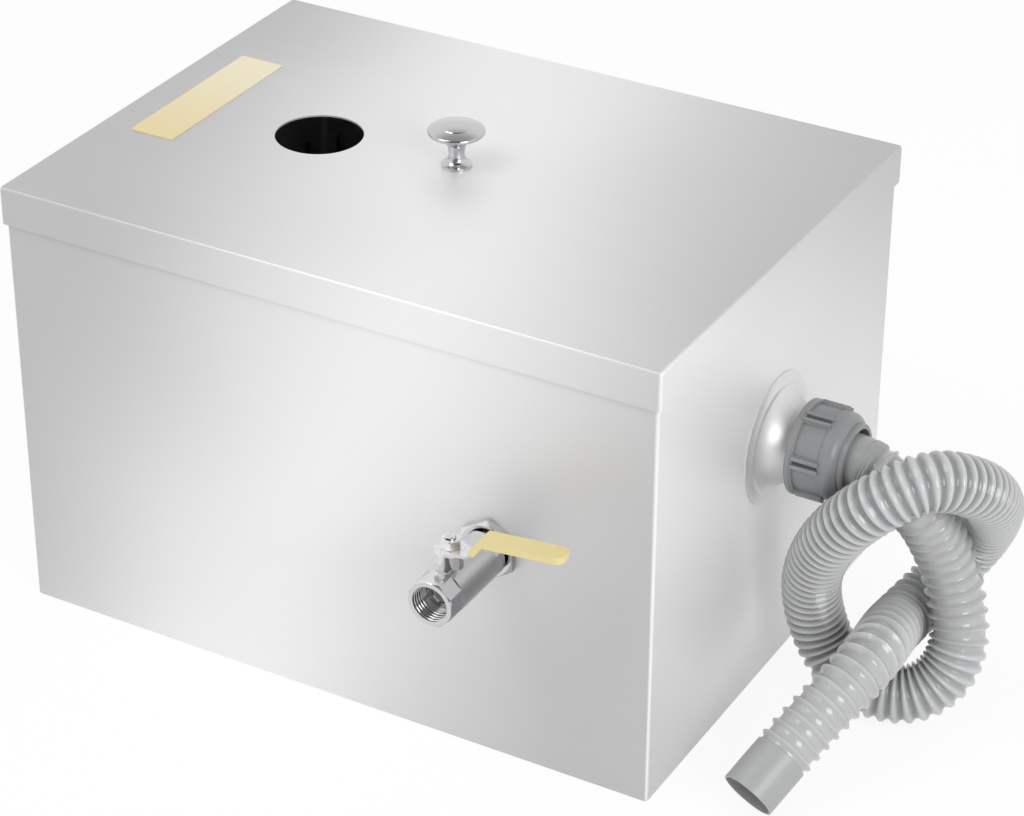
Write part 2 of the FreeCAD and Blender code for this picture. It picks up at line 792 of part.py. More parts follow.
def valve_body():
    """One-piece ball valve body: round bar with eight flats at each end and a boss."""
    edge = valve_radius - valve_chamfer
    blank = turned([(0, 0), (0, edge), (valve_chamfer, valve_radius),
                    (valve_length - valve_chamfer, valve_radius), (valve_length, edge),
                    (valve_length, 0)], along_valve(0), Y_AXIS)
    for start, end in ((0, valve_front_flats), (valve_length - valve_rear_flats, valve_length)):
        band = cylinder(valve_radius + CUT_THROUGH, end - start, along_valve(start), Y_AXIS)
        prism = hexagon(valve_flats, end - start, along_valve(start), Y_AXIS, sides=8)
        blank = blank.cut(band.cut(prism))
    boss = cylinder(boss_radius, boss_height, ball_centre, Z_AXIS)
    blank = blank.fuse(boss).fuse(stop_lug())
    bores = [
        turned([(-CUT_THROUGH, 0), (-CUT_THROUGH, thread_radius),
                (valve_thread_depth, thread_radius), (valve_thread_depth, port_radius),
                (cavity_start, port_radius), (cavity_start, cavity_radius),
                (cavity_end, cavity_radius), (cavity_end, thread_radius),
                (valve_length + CUT_THROUGH, thread_radius), (valve_length + CUT_THROUGH, 0)],
               along_valve(0), Y_AXIS),
        cylinder(stem_flange_radius + running_gap, stem_flange_room - drain_z, ball_centre,
                 Z_AXIS),
        cylinder(stem_radius + running_gap, boss_height + CUT_THROUGH, ball_centre, Z_AXIS),
        cylinder(packing_radius, packing_height + gland_height + CUT_THROUGH,
                 ball_centre + Z_AXIS * (boss_height - packing_height - gland_height), Z_AXIS),
    ]
    for bore in bores:
        blank = blank.cut(bore)
    return blank.removeSplitter()


def stop_lug():
    """Small lug beside the boss that the lever's disc turns against."""
    lug = box((0, lever_disc_radius), centred(0, stop_width / 2),
              (boss_top - lug_root, lever_top - lug_drop))
    lug = lug.cut(box((-CUT_THROUGH, stop_inner_radius + lug_gap), centred(0, stop_width),
                      (boss_top, lever_top)))
    lug.rotate(Vector(), Z_AXIS, stop_angle)
    lug.translate(Vector(drain_x, stem_y, 0))
    return lug


def valve_seat(start):
    """Plastic seat ring with a hollow that fits the ball."""
    seat = ring(cavity_radius - running_gap, port_radius, seat_length, along_valve(start), Y_AXIS)
    hollow = Part.makeSphere(ball_radius + ball_gap)
    hollow.translate(ball_centre)
    return seat.cut(hollow)


def valve_insert():
    """Threaded ring that holds the seats and ball in from behind."""
    insert = ring(thread_radius - thread_gap, port_radius, insert_length,
                  along_valve(cavity_end), Y_AXIS)
    rear = valve_mouth + cavity_end + insert_length
    slot = box(centred(drain_x, thread_radius + CUT_THROUGH),
               (rear - insert_slot, rear + CUT_THROUGH), centred(drain_z, insert_slot / 2))
    return insert.cut(slot)


def valve_ball():
    """Ball with a reduced bore, closed at rest, and a slot for the stem."""
    ball = Part.makeSphere(ball_radius)
    bore = cylinder(port_radius - ball_bore_step, 4 * ball_radius, X_AXIS * (-2 * ball_radius), X_AXIS)
    slot = box(centred(0, 2 * ball_radius), centred(0, stem_tang / 2 + running_gap),
               (ball_radius - tang_depth, 2 * ball_radius))
    ball = ball.cut(bore).cut(slot)
    ball.translate(ball_centre)
    return ball


def valve_stem():
    """Stem with a tang in the ball, a flange below the boss and flats for the lever."""
    base = ball_centre
    flange_base = stem_flange_base - drain_z
    flange_top = flange_base + stem_flange
    top = stem_top - drain_z
    stem = turned([(flange_base, 0), (flange_base, stem_flange_radius),
                   (flange_top, stem_flange_radius), (flange_top, stem_radius),
                   (top - stem_chamfer, stem_radius), (top, stem_radius - stem_chamfer),
                   (top, 0)], base, Z_AXIS)
    tang_low = ball_radius - tang_depth + running_gap
    tang = box(centred(base.x, tang_width / 2), centred(base.y, stem_tang / 2),
               (drain_z + tang_low, drain_z + flange_base))
    for side in (-1, 1):
        flat = box(centred(base.x, 2 * stem_radius),
                   sorted((base.y + side * stem_radius * stem_flat_share,
                           base.y + side * 3 * stem_radius)),
                   (boss_top - stem_flat_drop, stem_top + CUT_THROUGH))
        stem = stem.cut(flat)
    return stem.fuse(tang)


def stem_packing():
    """Plastic ring round the stem in the boss."""
    base = ball_centre + Z_AXIS * (boss_height - gland_height - packing_height)
    return ring(packing_radius, stem_radius + running_gap / 2, packing_height, base, Z_AXIS)


def gland_ring():
    """Threaded ring that presses the packing down."""
    base = ball_centre + Z_AXIS * (boss_height - gland_height)
    return ring(packing_radius, stem_radius + running_gap, gland_height - gland_recess,
                base, Z_AXIS)


def lever_profile(grow, start):
    """Side outline of the lever's plate: flat, rising bend, sloping grip."""
    rise = lever_bend_rise
    bend_x = lever_flat_length
    grip_x = bend_x + lever_bend_run
    tip_z = rise + (lever_length - grip_x) * math.tan(math.radians(lever_slope))
    middle = [(start, 0), (bend_x, 0), (grip_x, rise), (lever_length, tip_z)]
    if start > bend_x:
        share = (start - bend_x) / lever_bend_run
        middle = [(start, rise * share)] + middle[2:]
    half = lever_thickness / 2 + grow
    if grow:
        middle[-1] = (lever_length + grow, tip_z + grow * math.tan(math.radians(lever_slope)))
    return offset_strip(middle, half)


def offset_strip(middle, half):
    """Points each side of a bent middle line, at half a thickness."""
    above, below = [], []
    for index, point in enumerate(middle):
        first = middle[max(index - 1, 0)]
        last = middle[min(index + 1, len(middle) - 1)]
        before = Vector(point[0] - first[0], 0, point[1] - first[1])
        after = Vector(last[0] - point[0], 0, last[1] - point[1])
        before = before.normalize() if before.Length else after.normalize()
        after = after.normalize() if after.Length else before
        normal = Vector(-(before.z + after.z), 0, before.x + after.x).normalize()
        reach = half / normal.dot(Vector(-after.z, 0, after.x))
        above.append((point[0] + normal.x * reach, point[1] + normal.z * reach))
        below.append((point[0] - normal.x * reach, point[1] - normal.z * reach))
    return above + below[::-1]


def lever_strip(width, grow, start):
    """Bent strip of the lever with a rounded tip, before it gets its disc."""
    height = boss_top + lever_thickness / 2
    stops = lever_profile(grow, start)
    strip = outline(stops).extrude(Y_AXIS * width)
    strip.translate(Vector(0, -width / 2, 0))
    tip = lever_length + grow
    plan = box((-lever_length, tip), centred(0, width / 2), (-lever_length, lever_length))
    ends = [edge for edge in vertical_edges(plan) if edge.Vertexes[0].X > 0]
    strip = strip.common(plan.makeFillet(width * lever_tip_share, ends))
    strip.translate(Vector(drain_x, stem_y, height))
    return strip


def valve_lever():
    """Pressed lever: a disc with a stop notch, a riser and a grip."""
    disc = cylinder(lever_disc_radius, lever_thickness, Vector(0, 0, boss_top), Z_AXIS)
    deep = lever_thickness + 2 * CUT_THROUGH
    notch = outline([(0, stop_inner_radius), (0, 2 * lever_disc_radius),
                     (deep, 2 * lever_disc_radius), (deep, stop_inner_radius)])
    margin = math.degrees(math.atan2(stop_width / 2, stop_inner_radius)) + stop_gap
    swept = lever_swing + 2 * margin
    notch = notch.revolve(Vector(), X_AXIS, swept)
    notch.Placement = Placement(Vector(0, 0, boss_top - CUT_THROUGH), Rotation(X_AXIS, Z_AXIS))
    seam = Rotation(X_AXIS, Z_AXIS).multVec(Z_AXIS)
    seam_angle = math.degrees(math.atan2(seam.y, seam.x))
    notch.rotate(Vector(), Z_AXIS, stop_angle - margin - seam_angle)
    disc = disc.cut(notch)
    disc.translate(Vector(drain_x, stem_y, 0))
    lever = disc.fuse(lever_strip(lever_width, 0, 0))
    hole = cylinder(stem_radius + running_gap, lever_thickness + 2 * CUT_THROUGH,
                    Vector(drain_x, stem_y, boss_top - CUT_THROUGH), Z_AXIS)
    flats = box(centred(drain_x, 2 * stem_radius),
                centred(stem_y, stem_radius * stem_flat_share + running_gap),
                (boss_top - CUT_THROUGH, lever_top + CUT_THROUGH))
    return lever.cut(hole.common(flats)).removeSplitter()


def lever_sleeve():
    """Soft sleeve over the lever's riser and grip."""
    outside = lever_strip(lever_width + 2 * sleeve_wall, sleeve_wall, sleeve_start)
    return outside.cut(valve_lever())


def lever_nut():
    """Small hexagon nut on top of the lever."""
    return chamfered_nut(lever_nut_flats, lever_nut_height, stem_radius + running_gap / 2,
                         Vector(drain_x, stem_y, lever_top), Z_AXIS)


def hose_edges():
    """Hose's middle line: straight runs with an arc at each point, and the arcs' radii."""
    points = [Vector(*point) for point in hose_path]
    edges = []
    radii = []
    start = points[0]
    for before, corner, after in zip(points, points[1:], points[2:]):
        back = before - corner
        ahead = after - corner
        reach = arc_share * min(back.Length, ahead.Length)
        back.normalize()
        ahead.normalize()
        half = back.getAngle(ahead) / 2
        radius = reach * math.tan(half)
        middle = corner + (back + ahead).normalize() * (radius / math.sin(half) - radius)
        bend_in = corner + back * reach
        bend_out = corner + ahead * reach
        edges.append(Part.LineSegment(start, bend_in).toShape())
        edges.append(Part.Arc(bend_in, middle, bend_out).toShape())
        radii.append(radius)
        start = bend_out
    edges.append(Part.LineSegment(start, points[-1]).toShape())
    return edges, radii


def hose():
    """Corrugated hose as a plain tube, with a slimmer smooth cuff at each end."""
    edges, radii = hose_edges()
    near_edges = edges[:near_cuff_edge_count]
    far_edges = edges[-far_cuff_edge_count:]
    first_cuff = swept_tube(near_edges, cuff_radius, hose_bore)
    tube = swept_tube(edges[near_cuff_edge_count:-far_cuff_edge_count], hose_radius, hose_bore)
    last_cuff = swept_tube(far_edges, cuff_radius, hose_bore)
    whole = first_cuff.fuse(tube).fuse(last_cuff)
    length = sum(edge.Length for edge in edges)
    cuff_length = sum(edge.Length for edge in near_edges + far_edges)
    expected = math.pi * ((hose_radius ** 2 - hose_bore ** 2) * (length - cuff_length)
                          + (cuff_radius ** 2 - hose_bore ** 2) * cuff_length)
    print("hose length %.1f, volume %.0f, sections times lengths %.0f"
          % (length, whole.Volume, expected))
    print("hose bend radii " + " ".join("%.0f" % radius for radius in radii))
    return whole


def build():
    """Every piece by its node's name."""
    inlet_guide_span = (inlet_baffle_lift - guide_leg, inlet_baffle_top + guide_over)
    outlet_guide_span = (sheet + inner_bend, outlet_baffle_top + guide_over)
    pieces = {
        "tank_shell": tank_shell(),
        "lid_pan": lid_pan(),
        "lid_gasket": lid_gasket(),
        "lid_knob": lid_knob(),
        "knob_washer": knob_washer(),
        "knob_screw": knob_screw(),
        "name_plate": name_plate(),
        "filter_basket": filter_basket(),
        "inlet_baffle": inlet_baffle(),
        "outlet_baffle": outlet_baffle(),
        "outlet_flare": outlet_flare(),
        "outlet_neck": outlet_neck(),
        "outlet_elbow": outlet_elbow(),
        "dip_tube": dip_tube(),
        "hose_seal": hose_seal(),
        "hose_nut": hose_nut(),
        "hose": hose(),
        "drain_nipple": drain_nipple(),
        "outer_locknut": outer_locknut(),
        "inner_washer": inner_washer(),
        "inner_locknut": inner_locknut(),
        "valve_body": valve_body(),
        "front_seat": valve_seat(cavity_start),
        "rear_seat": valve_seat(cavity_end - seat_length),
        "valve_insert": valve_insert(),
        "valve_ball": valve_ball(),
        "valve_stem": valve_stem(),
        "stem_packing": stem_packing(),
        "gland_ring": gland_ring(),
        "valve_lever": valve_lever(),
        "lever_sleeve": lever_sleeve(),
        "lever_nut": lever_nut(),
    }
    for name, side in (("front", -1), ("back", 1)):
        pieces["basket_rail_" + name] = basket_rail(side)
        pieces["inlet_guide_" + name] = baffle_guide(inlet_baffle_x, side, inlet_guide_span, True)
        pieces["outlet_guide_" + name] = baffle_guide(outlet_baffle_x, side,
                                                      outlet_guide_span, False)
    for name, side in (("left", -1), ("right", 1)):
        pieces["basket_handle_" + name] = basket_handle(side)
    return pieces


def main():
    """Write one STEP file for each piece."""
    os.makedirs("parts", exist_ok=True)
    for name, shape in build().items():
        shape.exportStep(os.path.join("parts", name + ".step"))


main()
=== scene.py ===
"""Looks of the grease trap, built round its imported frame.

Lengths are in metres and angles in degrees. The frame gives every rigid piece its
shape; this file gives each a finish, and adds the corrugated hose and the thread in
the valve's mouth.
"""
import json
import math

import bpy
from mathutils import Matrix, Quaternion, Vector


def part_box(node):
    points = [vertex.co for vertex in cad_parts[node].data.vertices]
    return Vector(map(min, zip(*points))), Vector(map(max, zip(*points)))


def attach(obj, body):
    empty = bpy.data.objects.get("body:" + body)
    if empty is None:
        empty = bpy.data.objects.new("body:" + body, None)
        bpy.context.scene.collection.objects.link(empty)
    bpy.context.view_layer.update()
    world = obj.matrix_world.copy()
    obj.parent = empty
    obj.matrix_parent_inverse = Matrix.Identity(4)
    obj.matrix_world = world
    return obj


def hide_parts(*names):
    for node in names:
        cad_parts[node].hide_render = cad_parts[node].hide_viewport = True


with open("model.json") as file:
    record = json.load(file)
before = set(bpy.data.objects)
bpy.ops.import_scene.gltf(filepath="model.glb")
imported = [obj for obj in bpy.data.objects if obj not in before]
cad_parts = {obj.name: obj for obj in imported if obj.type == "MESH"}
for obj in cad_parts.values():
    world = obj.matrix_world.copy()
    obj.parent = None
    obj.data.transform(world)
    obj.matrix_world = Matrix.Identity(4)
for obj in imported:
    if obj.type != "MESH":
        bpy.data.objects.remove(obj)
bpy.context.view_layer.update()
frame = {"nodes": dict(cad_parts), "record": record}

# View of the photograph, and the side of the room that bright metal finds dark
camera_place = Vector((0.81369, -1.37608, 1.06461))
camera_direction = Vector((-0.42279, 0.74752, -0.51231))
camera_roll = 0.2
camera_lens = 114.18
dark_side = -camera_direction

# Hose: its route is a given list
hose_points = [
    (0.228, -0.002, 0.153), (0.250, -0.002, 0.153), (0.269, -0.003, 0.146),
    (0.282, 0.004, 0.132), (0.289, 0.014, 0.113), (0.296, 0.020, 0.092),
    (0.303, 0.020, 0.070), (0.310, 0.013, 0.049), (0.307, 0.004, 0.030),
    (0.293, -0.007, 0.018), (0.272, -0.013, 0.017), (0.250, -0.011, 0.024),
    (0.235, -0.009, 0.044), (0.230, -0.014, 0.074), (0.239, -0.025, 0.104),
    (0.256, -0.037, 0.133), (0.277, -0.040, 0.157), (0.300, -0.024, 0.170),
    (0.316, 0.001, 0.156), (0.317, 0.027, 0.133), (0.308, 0.051, 0.107),
    (0.295, 0.064, 0.079), (0.278, 0.049, 0.052), (0.271, 0.018, 0.045),
    (0.276, -0.009, 0.056), (0.281, -0.041, 0.062), (0.274, -0.069, 0.051),
    (0.262, -0.097, 0.034), (0.251, -0.128, 0.0145),
]
hose_radius = 0.0165
hose_valley = 0.0142
hose_wall = 0.0012
hose_sides = 40
cuff_radius = 0.0155
near_cuff = 0.031
far_cuff = 0.028
near_wide_ribs = 14
far_wide_ribs = 19
wide_pitch = 0.0079
tight_pitch = 0.0057
# One rib as steps along the hose: share of the pitch, height between valley and crest
wide_rib = [(0.18, 0.0), (0.14, 0.16), (0.11, 0.80), (0.07, 1.0), (0.07, 0.80), (0.11, 0.16),
            (0.14, 0.0), (0.18, 0.0)]
tight_rib = [(0.11, 0.0), (0.13, 0.42), (0.13, 0.88), (0.13, 1.0), (0.13, 0.88), (0.13, 0.42),
             (0.13, 0.0), (0.11, 0.0)]
half_way_ribs = 2            # at each change between the two pitches
cuff_steps = 12
cuff_ring_share = 0.05       # of the cuff's length
cuff_ring_rise = 0.0005
# Tones below are levels of the painted shade in the hose's valleys
cuff_tone = 0.45             # 0 as dark as a valley, 1 as pale as a crest
wide_valley_tone = 0.7
tone_blend = 0.06

# Thread in the valve's mouth
thread_pitch = 0.0021
thread_depth = 0.0011
thread_turns = 4
thread_set_back = 0.0009     # from the valve's end face
ridge_share = 0.62           # of the thread's depth

# Broad pale band of painted sheen on the folded sheet: the way across it and its shift from the
# origin, for the walls that face front and back and the lid, then for the two end walls
band_across = (1.0, 0.3, -0.4)
band_shift = 0.10
end_band_across = (0.0, 0.62, 0.79)
end_band_shift = -0.087
band_reach = 0.22
band_wander = 0.10

# Side on which bright plating is painted paler, as painted light, and away from which it is painted
# darker, as painted shade, in each piece's own frame
plating_painted_light_side = (-0.45, -0.25, 0.86)

# Lamps, in watts
key_power = 19
side_power = 18


def deselect_all():
    """Nothing selected, and the scene in object mode."""
    if bpy.context.mode != "OBJECT":
        bpy.ops.object.mode_set(mode="OBJECT")
    bpy.ops.object.select_all(action="DESELECT")


def make_active(piece):
    """Only this piece selected and active."""
    deselect_all()
    piece.select_set(True)
    bpy.context.view_layer.objects.active = piece


def named(name):
    """Active object under a new name."""
    piece = bpy.context.active_object
    piece.name = name
    piece.data.name = name
    return piece


# Finishes

def new_finish(name, color, metallic, roughness):
    """Plain finish and its nodes."""
    finish = bpy.data.materials.new(name)
    finish.use_nodes = True
    shader = finish.node_tree.nodes["Principled BSDF"]
    shader.inputs["Base Color"].default_value = (*color, 1)
    shader.inputs["Metallic"].default_value = metallic
    shader.inputs["Roughness"].default_value = roughness
    return finish, finish.node_tree, shader


def grain(tree, scale, stretch=(1, 1, 1), detail=3.0):
    """Noise on the piece's own place, stretched along an axis."""
    place = tree.nodes.new("ShaderNodeTexCoord")
    mapping = tree.nodes.new("ShaderNodeMapping")
    mapping.inputs["Scale"].default_value = stretch
    noise = tree.nodes.new("ShaderNodeTexNoise")
    noise.inputs["Scale"].default_value = scale
    noise.inputs["Detail"].default_value = detail
    tree.links.new(place.outputs["Object"], mapping.inputs["Vector"])
    tree.links.new(mapping.outputs["Vector"], noise.inputs["Vector"])
    return noise


def spread(tree, noise, low, high):
    """Noise taken to a range of values."""
    ramp = tree.nodes.new("ShaderNodeMapRange")
    ramp.inputs["From Min"].default_value = 0.3
    ramp.inputs["From Max"].default_value = 0.7
    ramp.inputs["To Min"].default_value = low
    ramp.inputs["To Max"].default_value = high
    tree.links.new(noise.outputs["Fac"], ramp.inputs["Value"])
    return ramp.outputs["Result"]


def tint(tree, noise, first, second):
    """Noise taken to a mix of two colours."""
    mix = tree.nodes.new("ShaderNodeMix")
    mix.data_type = "RGBA"
    mix.inputs["A"].default_value = (*first, 1)
    mix.inputs["B"].default_value = (*second, 1)
    tree.links.new(noise.outputs["Fac"], mix.inputs["Factor"])
    return mix.outputs["Result"]


def raise_surface(tree, shader, noise, strength, distance):
    """Noise as a fine relief."""
    bump = tree.nodes.new("ShaderNodeBump")
    bump.inputs["Strength"].default_value = strength
    bump.inputs["Distance"].default_value = distance
    tree.links.new(noise.outputs["Fac"], bump.inputs["Height"])
    tree.links.new(bump.outputs["Normal"], shader.inputs["Normal"])


def slanting_line(tree, place, across, shift):
    """Distance from a slanting line over the piece."""
    along = tree.nodes.new("ShaderNodeVectorMath")
    along.operation = "DOT_PRODUCT"
    along.inputs[1].default_value = across
    total = tree.nodes.new("ShaderNodeMath")
    total.inputs[1].default_value = shift
    tree.links.new(place.outputs["Object"], along.inputs[0])
    tree.links.new(along.outputs["Value"], total.inputs[0])
    return total.outputs[0]


def painted_sheen_band(tree):
    """How far a place is from the sheet's painted sheen band: 0 on it, 1 well away from it.

    The band is painted sheen: colour that stays with the sheet, whatever the view or the light.
    """
    place = tree.nodes.new("ShaderNodeTexCoord")
    facing = tree.nodes.new("ShaderNodeSeparateXYZ")
    ends = tree.nodes.new("ShaderNodeMath")
    ends.operation = "ABSOLUTE"
    which = tree.nodes.new("ShaderNodeMix")
    clouds = grain(tree, 4.0, detail=1.0)
    wander = tree.nodes.new("ShaderNodeMath")
    wander.operation = "MULTIPLY_ADD"
    wander.inputs[1].default_value = band_wander
    reach = tree.nodes.new("ShaderNodeMath")
    reach.operation = "ABSOLUTE"
    fall = tree.nodes.new("ShaderNodeMapRange")
    fall.interpolation_type = "SMOOTHSTEP"
    fall.inputs["From Max"].default_value = band_reach
    tree.links.new(place.outputs["Normal"], facing.inputs["Vector"])
    tree.links.new(facing.outputs["X"], ends.inputs[0])
    tree.links.new(ends.outputs[0], which.inputs["Factor"])
    tree.links.new(slanting_line(tree, place, band_across, band_shift - band_wander / 2),
                   which.inputs["A"])
    tree.links.new(slanting_line(tree, place, end_band_across, end_band_shift - band_wander / 2),
                   which.inputs["B"])
    tree.links.new(clouds.outputs["Fac"], wander.inputs[0])
    tree.links.new(which.outputs["Result"], wander.inputs[2])
    tree.links.new(wander.outputs[0], reach.inputs[0])
    tree.links.new(reach.outputs[0], fall.inputs["Value"])
    return fall.outputs["Result"]


def satin_sheet(name, light, dark, metallic, roughness):
    """Satin stainless sheet: a broad pale band of painted sheen, and a grain too fine to see from
    afar.
    """
    finish, tree, shader = new_finish(name, light, metallic, roughness)
    lines = grain(tree, 60.0, (0.4, 2.5, 14), 4.0)
    # Painted sheen: the light colour on the band, the dark colour away from it
    mix = tree.nodes.new("ShaderNodeMix")
    mix.data_type = "RGBA"
    mix.inputs["A"].default_value = (*light, 1)
    mix.inputs["B"].default_value = (*dark, 1)
    tree.links.new(painted_sheen_band(tree), mix.inputs["Factor"])
    tree.links.new(mix.outputs["Result"], shader.inputs["Base Color"])
    tree.links.new(spread(tree, lines, roughness - 0.02, roughness + 0.02),
                   shader.inputs["Roughness"])
    raise_surface(tree, shader, lines, 0.02, 0.0001)
    return finish


def bright_plating(name, upper, lower, roughness):
    """Bright plated metal, with painted shade on what faces down and painted light on what faces
    up, and a few soft smears.
    """
    finish, tree, shader = new_finish(name, upper, 1.0, roughness)
    place = tree.nodes.new("ShaderNodeTexCoord")
    facing = tree.nodes.new("ShaderNodeVectorMath")
    facing.operation = "DOT_PRODUCT"
    facing.inputs[1].default_value = plating_painted_light_side
    # Painted light and painted shade by facing: the colour darkens as a face turns away from the
    # painted light side
    shade = tree.nodes.new("ShaderNodeMapRange")
    shade.interpolation_type = "SMOOTHSTEP"
    shade.inputs["From Min"].default_value = -0.25
    shade.inputs["From Max"].default_value = 0.55
    mix = tree.nodes.new("ShaderNodeMix")
    mix.data_type = "RGBA"
    mix.inputs["A"].default_value = (*lower, 1)
    mix.inputs["B"].default_value = (*upper, 1)
    smears = grain(tree, 120.0, (1, 1, 0.4))
    tree.links.new(place.outputs["Normal"], facing.inputs[0])
    tree.links.new(facing.outputs["Value"], shade.inputs["Value"])
    tree.links.new(shade.outputs["Result"], mix.inputs["Factor"])
    tree.links.new(mix.outputs["Result"], shader.inputs["Base Color"])
    tree.links.new(spread(tree, smears, roughness - 0.03, roughness + 0.04),
                   shader.inputs["Roughness"])
    raise_surface(tree, shader, smears, 0.05, 0.0003)
    return finish


def turned_plating():
    """Plated knob: fine turning marks round its axis."""
    finish, tree, shader = new_finish("turned_plating", (0.56, 0.56, 0.57), 1.0, 0.12)
    around = tree.nodes.new("ShaderNodeTangent")
    around.direction_type = "RADIAL"
    around.axis = "Z"
    place = tree.nodes.new("ShaderNodeTexCoord")
    marks = tree.nodes.new("ShaderNodeTexWave")
    marks.wave_type = "RINGS"
    marks.rings_direction = "Z"
    marks.inputs["Scale"].default_value = 260.0
    marks.inputs["Distortion"].default_value = 0.6
    marks.inputs["Detail"].default_value = 2.0
    shader.inputs["Anisotropic"].default_value = 0.4
    tree.links.new(around.outputs["Tangent"], shader.inputs["Tangent"])
    tree.links.new(place.outputs["Object"], marks.inputs["Vector"])
    tree.links.new(tint(tree, marks, (0.52, 0.52, 0.53), (0.60, 0.60, 0.61)),
                   shader.inputs["Base Color"])
    tree.links.new(spread(tree, marks, 0.09, 0.15), shader.inputs["Roughness"])
    return finish


def zinc_steel():
    """Duller zinc steel of screws and washers."""
    finish, tree, shader = new_finish("zinc_steel", (0.62, 0.62, 0.63), 1.0, 0.35)
    flecks = grain(tree, 700.0)
    tree.links.new(tint(tree, flecks, (0.56, 0.56, 0.58), (0.68, 0.68, 0.67)),
                   shader.inputs["Base Color"])
    tree.links.new(spread(tree, flecks, 0.3, 0.42), shader.inputs["Roughness"])
    return finish


def gold_foil():
    """Pale gold satin plate, paler towards its back end."""
    finish, tree, shader = new_finish("gold_foil", (0.86, 0.72, 0.40), 0.4, 0.42)
    lines = grain(tree, 90.0, (14, 0.5, 14), 4.0)
    place = tree.nodes.new("ShaderNodeTexCoord")
    along = tree.nodes.new("ShaderNodeSeparateXYZ")
    fade = tree.nodes.new("ShaderNodeMapRange")
    fade.interpolation_type = "SMOOTHSTEP"
    fade.inputs["From Min"].default_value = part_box("name_plate")[0][1]
    fade.inputs["From Max"].default_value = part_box("name_plate")[1][1]
    mix = tree.nodes.new("ShaderNodeMix")
    mix.data_type = "RGBA"
    mix.inputs["A"].default_value = (0.86, 0.73, 0.42, 1)
    mix.inputs["B"].default_value = (0.92, 0.84, 0.62, 1)
    tree.links.new(place.outputs["Object"], along.inputs["Vector"])
    tree.links.new(along.outputs["Y"], fade.inputs["Value"])
    tree.links.new(fade.outputs["Result"], mix.inputs["Factor"])
    tree.links.new(mix.outputs["Result"], shader.inputs["Base Color"])
    tree.links.new(spread(tree, lines, 0.38, 0.46), shader.inputs["Roughness"])
    raise_surface(tree, shader, lines, 0.05, 0.0001)
    return finish


def moulded_plastic(name, light, dark, roughness):
    """Moulded plastic: faint flow marks and a fine skin."""
    finish, tree, shader = new_finish(name, light, 0.0, roughness)
    flow = grain(tree, 35.0, detail=2.0)
    skin = grain(tree, 900.0)
    tree.links.new(tint(tree, flow, light, dark), shader.inputs["Base Color"])
    tree.links.new(spread(tree, flow, roughness - 0.04, roughness + 0.05),
                   shader.inputs["Roughness"])
    raise_surface(tree, shader, skin, 0.08, 0.0002)
    return finish


def hose_vinyl(name, coat, smooth, rough):
    """Soft grey vinyl with a wet-looking skin, and painted shade that darkens it between its ribs.
    """
    finish, tree, shader = new_finish(name, (0.44, 0.445, 0.45), 0.0, smooth)
    cloud = grain(tree, 28.0)
    ripple = grain(tree, 260.0, detail=2.0)
    height = tree.nodes.new("ShaderNodeAttribute")
    height.attribute_name = "rib_height_painted_shade"
    # Painted shade: the colour goes from the dark valley colour to the pale crest colour with the
    # height tone
    crest = tree.nodes.new("ShaderNodeMix")
    crest.data_type = "RGBA"
    crest.inputs["A"].default_value = (0.25, 0.255, 0.26, 1)
    tree.links.new(height.outputs["Fac"], crest.inputs["Factor"])
    tree.links.new(tint(tree, cloud, (0.52, 0.525, 0.53), (0.62, 0.625, 0.63)), crest.inputs["B"])
    tree.links.new(crest.outputs["Result"], shader.inputs["Base Color"])
    tree.links.new(spread(tree, cloud, smooth, rough), shader.inputs["Roughness"])
    shader.inputs["Coat Weight"].default_value = coat
    shader.inputs["Coat Roughness"].default_value = 0.1
    raise_surface(tree, shader, ripple, 0.12, 0.0006)
    return finish


def seal_rubber():
    """Dull black rubber."""
    finish, tree, shader = new_finish("seal_rubber", (0.03, 0.03, 0.03), 0.0, 0.7)
    dust = grain(tree, 300.0)
    tree.links.new(tint(tree, dust, (0.022, 0.022, 0.022), (0.05, 0.05, 0.048)),
                   shader.inputs["Base Color"])
    raise_surface(tree, shader, dust, 0.15, 0.0003)
    return finish


def dress(finish, *nodes):
    """Finish on whole nodes of the frame."""
    for node in nodes:
        mesh = frame["nodes"][node].data
        mesh.materials.clear()
        mesh.materials.append(finish)


# Hose

def route_curve():
    """Smooth curve through the hose's route."""
    curve = bpy.data.curves.new("hose_route", "CURVE")
    curve.dimensions = "3D"
    curve.resolution_u = 16
    spline = curve.splines.new("NURBS")
    spline.points.add(len(hose_points) - 1)
    for point, place in zip(spline.points, hose_points):
        point.co = (*place, 1)
    spline.order_u = 3
    spline.use_endpoint_u = True
    route = bpy.data.objects.new("hose_route", curve)
    bpy.context.collection.objects.link(route)
    return route


def route_line(route):
    """Points along the curve, and their length."""
    deselect_all()
    mesh = bpy.data.meshes.new_from_object(route)
    line = [vertex.co.copy() for vertex in mesh.vertices]
    bpy.data.meshes.remove(mesh)
    return line, sum((b - a).length for a, b in zip(line, line[1:]))


def ring_at(x, radius, name):
    """Open ring round X, in edit mode with all of it selected."""
    deselect_all()
    bpy.ops.mesh.primitive_circle_add(vertices=hose_sides, radius=radius, location=(x, 0, 0),
                                      rotation=(0, math.pi / 2, 0))
    piece = named(name)
    bpy.ops.object.transform_apply(location=True, rotation=True, scale=True)
    bpy.ops.object.mode_set(mode="EDIT")
    bpy.ops.mesh.select_all(action="SELECT")
    return piece


def next_ring(x, step, scale):
    """Ring extruded on and drawn in or out."""
    bpy.ops.mesh.extrude_region_move(TRANSFORM_OT_translate={"value": (step, 0, 0)})
    bpy.ops.transform.resize(value=(1, scale, scale), center_override=(x + step, 0, 0))


